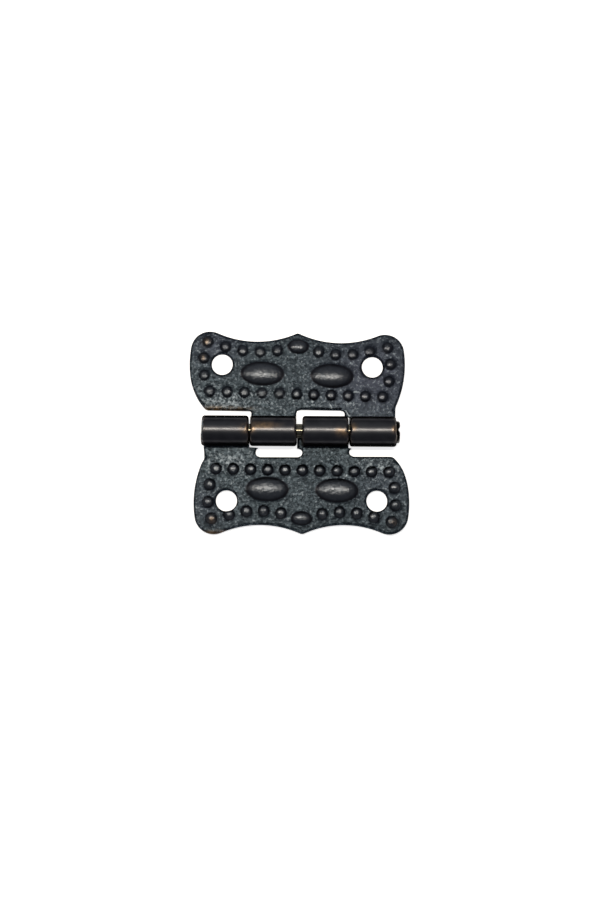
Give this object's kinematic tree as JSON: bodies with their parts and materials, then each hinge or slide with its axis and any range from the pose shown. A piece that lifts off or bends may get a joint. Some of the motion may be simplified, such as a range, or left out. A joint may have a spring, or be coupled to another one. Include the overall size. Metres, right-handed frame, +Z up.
{
  "type": "butterfly hinge",
  "caption": "Small flat butterfly box hinge: stamped leaves with scalloped ends, raised dots and ovals, screw holes and rolled knuckles on a staked pin.",
  "frame": {"origin": "middle of the open hinge, on the plane of the leaves' backs", "axes": "+X along the pin towards its staked end, +Y towards the upper leaf, +Z up from the mounting plane on the knuckles' side"},
  "size_m": [0.037, 0.0338, 0.0051],
  "materials": {
    "leaf_plate": "satin",
    "pin_plate": "satin"
  },
  "bodies": {
    "lower_leaf": {"lower_leaf": "leaf_plate", "hinge_pin": "pin_plate"},
    "upper_leaf": {"upper_leaf": "leaf_plate"}
  },
  "joints": [
    {"name": "leaf_swing", "type": "hinge", "parent": "lower_leaf", "child": "upper_leaf", "pos_m": [0, 0, 0.00253], "axis": [1, 0, 0], "range_deg": [-90, 180]}
  ]
}
